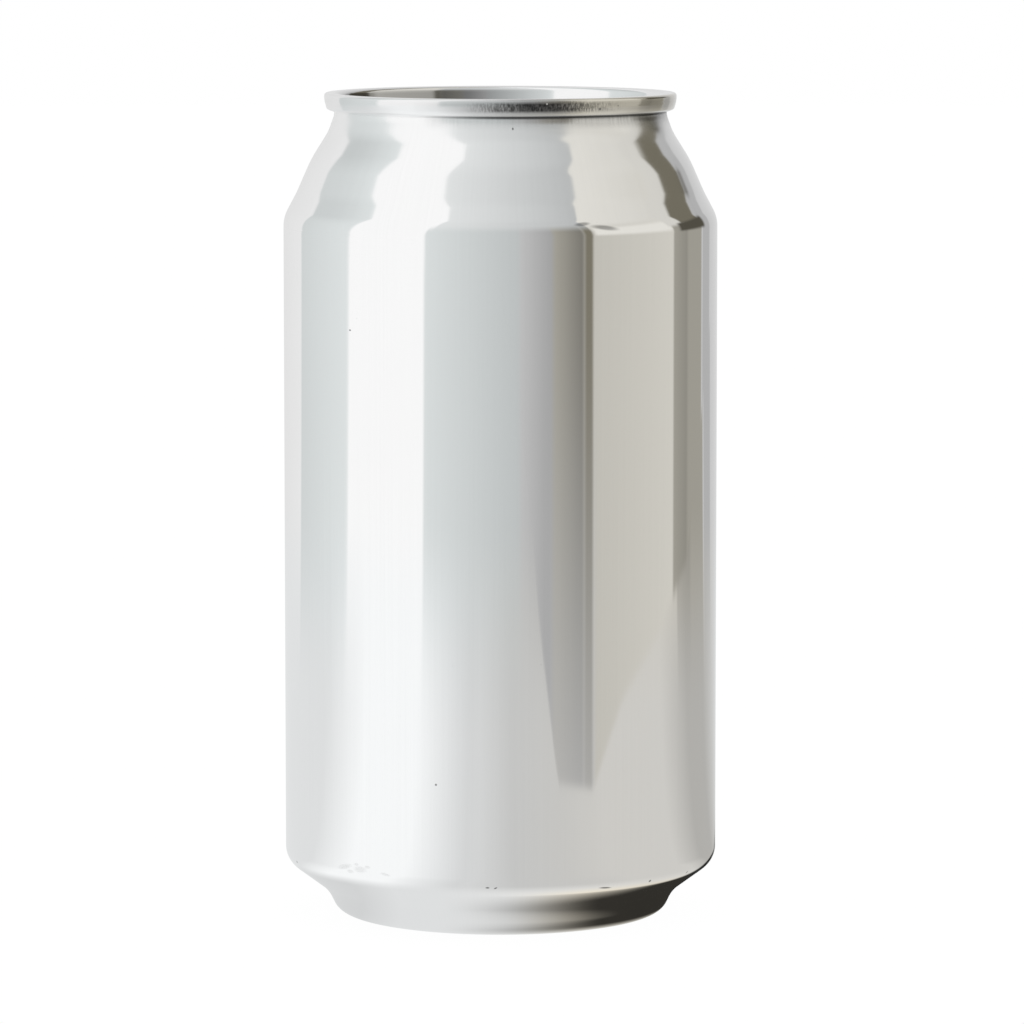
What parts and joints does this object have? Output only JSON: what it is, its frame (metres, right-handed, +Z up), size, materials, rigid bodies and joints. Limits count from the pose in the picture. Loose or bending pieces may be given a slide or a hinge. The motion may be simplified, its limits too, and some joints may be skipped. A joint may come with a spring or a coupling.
{
  "type": "soda can",
  "caption": "Shut drinks can of bare aluminium: straight drawn wall, necked-in shoulder, domed foot, and a seamed end with a stay-on pull tab.",
  "frame": {"origin": "middle of the plane that the foot stands on", "axes": "+Z up along the can's axis; the mouth in the end points to -Y, and the heel of the tab to +Y"},
  "size_m": [0.0662, 0.0662, 0.1258],
  "materials": {
    "body_metal": "bright bare metal with fine lines round the can",
    "end_metal": "bright bare metal with a fine rolled grain",
    "tab_metal": "bright bare metal, slightly brushed"
  },
  "bodies": {
    "root": {"can_body": "body_metal", "can_end": "end_metal", "pull_tab": "tab_metal"}
  },
  "joints": []
}
